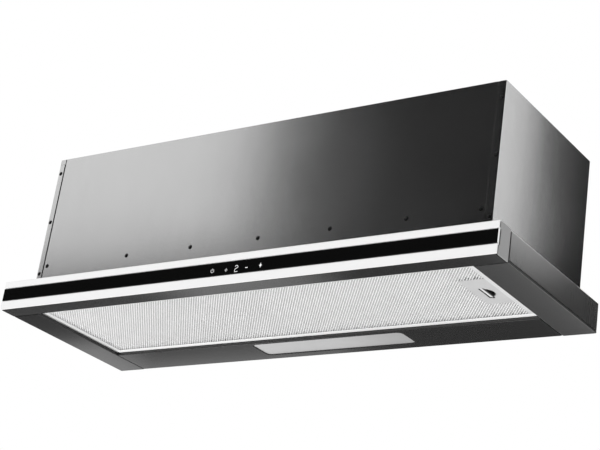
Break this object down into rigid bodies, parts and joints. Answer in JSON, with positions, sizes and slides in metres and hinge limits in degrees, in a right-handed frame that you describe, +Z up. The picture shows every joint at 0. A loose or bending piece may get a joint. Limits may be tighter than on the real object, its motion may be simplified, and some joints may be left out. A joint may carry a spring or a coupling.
{
  "type": "pull-out range hood",
  "caption": "Slide-out kitchen extractor for a wall cabinet: steel casing with blower and duct collar, wider lower frame with lamp, and a pull-out drawer that carries a hinged grease filter.",
  "frame": {"origin": "middle of the underside's outline, on the plane that the closed hood rests on", "axes": "+X along the front strip to the user's right, +Y from the front strip to the wall, +Z up"},
  "size_m": [0.898, 0.304, 0.305],
  "materials": {
    "brushed_body": "finely brushed steel sheet",
    "bright_strip": "bright steel, brushed lengthwise",
    "galvanised": "galvanised sheet with a soft spangle",
    "charcoal_paint": "charcoal powder coat, fine grain",
    "grey_plastic": "mid grey moulded plastic",
    "black_plastic": "black moulded plastic",
    "black_glass": "black back-painted glass, polished",
    "lamp_plastic": "frosted lens",
    "filter_aluminium": "bright rolled aluminium",
    "plain_steel": "ground steel pin",
    "circuit_board": "green solder mask"
  },
  "bodies": {
    "casing": {"side_panel_left": "brushed_body", "side_panel_right": "brushed_body", "front_panel": "brushed_body", "rear_panel": "galvanised", "top_panel": "galvanised", "front_rail": "galvanised", "rear_rail": "galvanised", "lower_side_left": "brushed_body", "lower_side_right": "brushed_body", "bottom_rail_left": "charcoal_paint", "bottom_rail_right": "charcoal_paint", "lamp_panel": "charcoal_paint", "lamp_lens": "lamp_plastic", "lamp_housing": "galvanised", "led_board": "circuit_board", "slide_outer_left": "galvanised", "slide_outer_right": "galvanised", "inner_filter_frame": "filter_aluminium", "inner_filter_mesh": "filter_aluminium", "scroll_housing_left": "black_plastic", "scroll_housing_right": "black_plastic", "motor": "galvanised", "motor_bracket": "galvanised", "capacitor": "grey_plastic", "outlet_collar": "black_plastic", "flap_pin": "plain_steel", "control_box": "black_plastic", "led_driver": "grey_plastic", "cable_gland": "black_plastic", "drawer_sensor": "black_plastic"},
    "fan": {"impeller": "black_plastic", "motor_shaft": "plain_steel"},
    "flap_left": {"flap_left": "black_plastic"},
    "flap_right": {"flap_right": "black_plastic"},
    "drawer": {"front_profile": "bright_strip", "control_glass": "black_glass", "touch_board": "circuit_board", "end_cap_left": "grey_plastic", "end_cap_right": "grey_plastic", "drawer_underside": "charcoal_paint", "drawer_cover": "charcoal_paint", "drawer_arm_left": "galvanised", "drawer_arm_right": "galvanised", "drawer_rear_bar": "galvanised", "drawer_magnet": "black_plastic", "slide_inner_left": "galvanised", "slide_inner_right": "galvanised"},
    "ball_cages": {"ball_cage_left": "plain_steel", "ball_cage_right": "plain_steel"},
    "filter": {"filter_frame": "filter_aluminium", "filter_mesh": "filter_aluminium", "latch_plate": "filter_aluminium"},
    "latch": {"filter_latch": "filter_aluminium", "latch_spring": "plain_steel"}
  },
  "joints": [
    {"name": "drawer_slide", "type": "slide", "parent": "casing", "child": "drawer", "axis": [0, -1, 0], "range_m": [0, 0.18]},
    {"name": "cage_slide", "type": "slide", "parent": "casing", "child": "ball_cages", "axis": [0, -1, 0], "range_m": [0, 0.0901]},
    {"name": "fan_spin", "type": "hinge", "parent": "casing", "child": "fan", "pos_m": [0, 0.00586, 0.16406], "axis": [1, 0, 0], "continuous": true},
    {"name": "flap_left_hinge", "type": "hinge", "parent": "casing", "child": "flap_left", "pos_m": [0, 0.04486, 0.2827], "axis": [0, 1, 0], "range_deg": [0, 75]},
    {"name": "flap_right_hinge", "type": "hinge", "parent": "casing", "child": "flap_right", "pos_m": [0, 0.04486, 0.2827], "axis": [0, -1, 0], "range_deg": [0, 75]},
    {"name": "filter_hinge", "type": "hinge", "parent": "drawer", "child": "filter", "pos_m": [-0.3948, -0.0197, 0.0073], "axis": [0, 1, 0], "range_deg": [0, 35]},
    {"name": "latch_slide", "type": "slide", "parent": "filter", "child": "latch", "axis": [-1, 0, 0], "range_m": [0, 0.005], "stiffness_N_per_m": 250, "springref_m": -0.003, "deforming": ["latch_spring"]}
  ],
  "couplings": [
    {"joint": "cage_slide", "follows": "drawer_slide", "ratio": 0.5}
  ]
}
